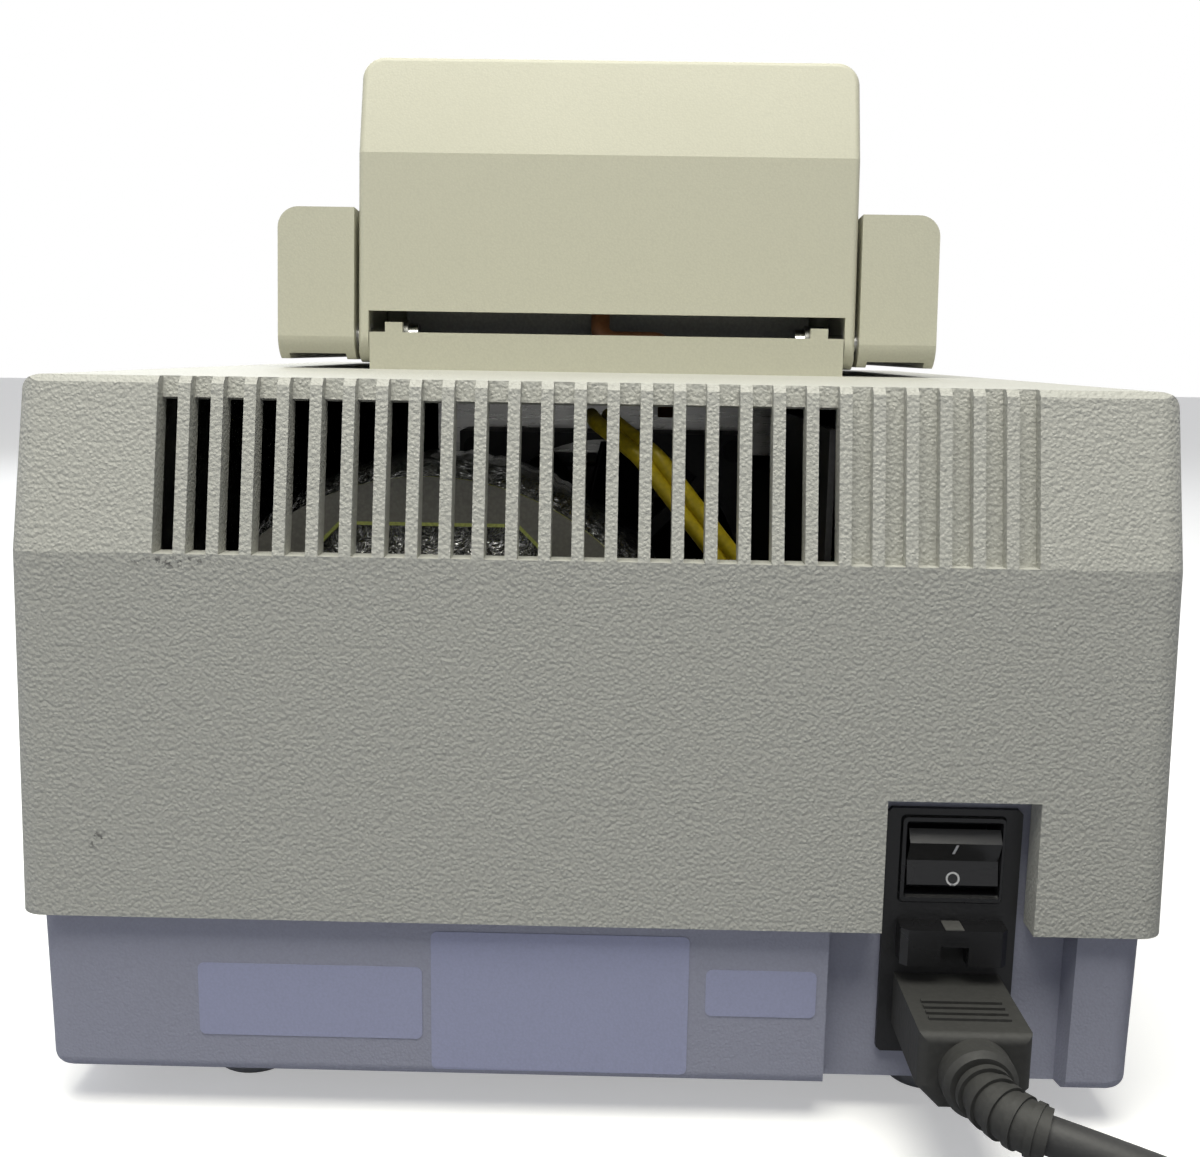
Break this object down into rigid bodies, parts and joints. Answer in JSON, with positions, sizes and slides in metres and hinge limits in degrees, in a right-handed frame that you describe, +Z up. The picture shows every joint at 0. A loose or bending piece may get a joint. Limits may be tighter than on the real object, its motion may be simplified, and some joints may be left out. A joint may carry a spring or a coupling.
{
  "type": "thermal cycler",
  "caption": "Bench thermal cycler with a heated lid, bow handle, sloped control panel, rear vent grille, mains inlet with rocker switch and fuse drawer, and its lead.",
  "frame": {"origin": "on the bench under the middle of the housing, without the mains lead", "axes": "+Z up, +Y to the rear with the grille and mains inlet, -Y to the sloped control panel, +X to the right of someone at the controls"},
  "size_m": [0.4167, 0.4711, 0.27],
  "materials": {
    "housing_grey": "coarse leather-like moulded texture, light warm grey",
    "base_grey": "fine moulded texture, light bluish grey",
    "lid_cream": "smooth satin moulding, cream grey",
    "foot_rubber": "matt grey rubber",
    "zinc_steel": "bright zinc plated",
    "sheet_aluminium": "rolled sheet",
    "bracket_steel": "dark passivated steel sheet",
    "pin_steel": "ground and polished",
    "black_plastic": "satin black moulding",
    "cable_brown": "silicone insulated cable, brown",
    "block_silver": "fine machined, silver coated",
    "frame_grey": "glass filled moulding, mid grey",
    "ceramic_white": "white ceramic",
    "sink_aluminium": "extruded and milled",
    "winding_film": "clear film over dark tape, glossy and wrinkled",
    "disc_grey": "pressed insulating board with a yellow-green cut edge",
    "shield_grey": "dark grey sheet",
    "board_green": "solder resist green",
    "wire_yellow": "yellow insulation, satin",
    "inlet_black": "satin black moulding",
    "rocker_black": "semi-gloss black moulding",
    "contact_brass": "nickel plated brass",
    "connector_black": "matt black moulded vinyl",
    "cord_black": "matt black vinyl sheath",
    "keypad_foil": "printed polyester foil with embossed keys",
    "window_glass": "clear window",
    "lcd_grey": "grey-green liquid crystal display",
    "tray_grey": "smooth heat resistant moulding",
    "bush_plastic": "natural acetal",
    "spring_steel": "spring steel",
    "plate_aluminium": "hard anodised, natural",
    "mat_orange": "silicone heater mat",
    "felt_white": "mineral fibre felt",
    "fuse_glass": "glass tube with plated caps"
  },
  "bodies": {
    "root": {"upper_housing": "housing_grey", "base_tray": "base_grey", "feet": "foot_rubber", "foot_screws": "zinc_steel", "housing_screws": "zinc_steel", "chassis_plate": "sheet_aluminium", "hinge_rear_panel": "lid_cream", "hinge_brackets": "bracket_steel", "hinge_pins": "pin_steel", "latch_catch": "black_plastic", "lid_cable_lower": "cable_brown", "thermoblock": "block_silver", "block_frame": "frame_grey", "peltier_modules": "ceramic_white", "heat_sink": "sink_aluminium", "sink_brackets": "sheet_aluminium", "air_duct": "sheet_aluminium", "fan_frame": "black_plastic", "fan_screws": "zinc_steel", "transformer_winding": "winding_film", "transformer_disc": "disc_grey", "transformer_washer": "bracket_steel", "transformer_pad": "foot_rubber", "transformer_bracket": "bracket_steel", "transformer_bolt": "zinc_steel", "power_shield": "shield_grey", "power_board": "board_green", "power_board_parts": "black_plastic", "earth_wires": "wire_yellow", "inlet_body": "inlet_black", "inlet_contacts": "contact_brass", "connector": "connector_black", "strain_relief": "connector_black", "cord_lead": "cord_black", "cord_coil": "cord_black", "cord_tail": "cord_black", "mains_plug": "connector_black", "plug_blades": "contact_brass", "keypad_foil": "keypad_foil", "lcd_window": "window_glass", "lcd_module": "lcd_grey", "control_board": "board_green"},
    "lid": {"lid_cover": "lid_cream", "lid_inner_shell": "tray_grey", "lid_bushes": "bush_plastic", "pressure_springs": "spring_steel", "lid_cable_upper": "cable_brown"},
    "heater": {"heated_plate": "plate_aluminium", "heater_mat": "mat_orange", "heater_felt": "felt_white", "guide_pins": "pin_steel"},
    "handle": {"handle_bow": "lid_cream", "handle_bushes": "bush_plastic", "latch_blade": "bracket_steel"},
    "rocker": {"mains_rocker": "rocker_black"},
    "drawer": {"fuse_drawer": "rocker_black", "fuses": "fuse_glass"},
    "fan": {"fan_rotor": "black_plastic"}
  },
  "joints": [
    {"name": "lid_hinge", "type": "hinge", "parent": "root", "child": "lid", "pos_m": [0, 0.058, 0.1828], "axis": [-1, 0, 0], "range_deg": [0, 75]},
    {"name": "handle_lift", "type": "hinge", "parent": "lid", "child": "handle", "pos_m": [0, 0.058, 0.1828], "axis": [-1, 0, 0], "range_deg": [0, 12]},
    {"name": "plate_float", "type": "slide", "parent": "lid", "child": "heater", "axis": [0, 0, 1], "range_m": [0, 0.003], "stiffness_N_per_m": 4000, "springref_m": -0.004, "deforming": ["pressure_springs"]},
    {"name": "rocker_tilt", "type": "hinge", "parent": "root", "child": "rocker", "pos_m": [-0.0839, 0.196, 0.0652], "axis": [1, 0, 0], "range_deg": [0, 18]},
    {"name": "fuse_drawer_slide", "type": "slide", "parent": "root", "child": "drawer", "axis": [0, 1, 0], "range_m": [0, 0.02]},
    {"name": "fan_spin", "type": "hinge", "parent": "root", "child": "fan", "pos_m": [0, 0.055, 0.1078], "axis": [0, 1, 0], "continuous": true}
  ]
}
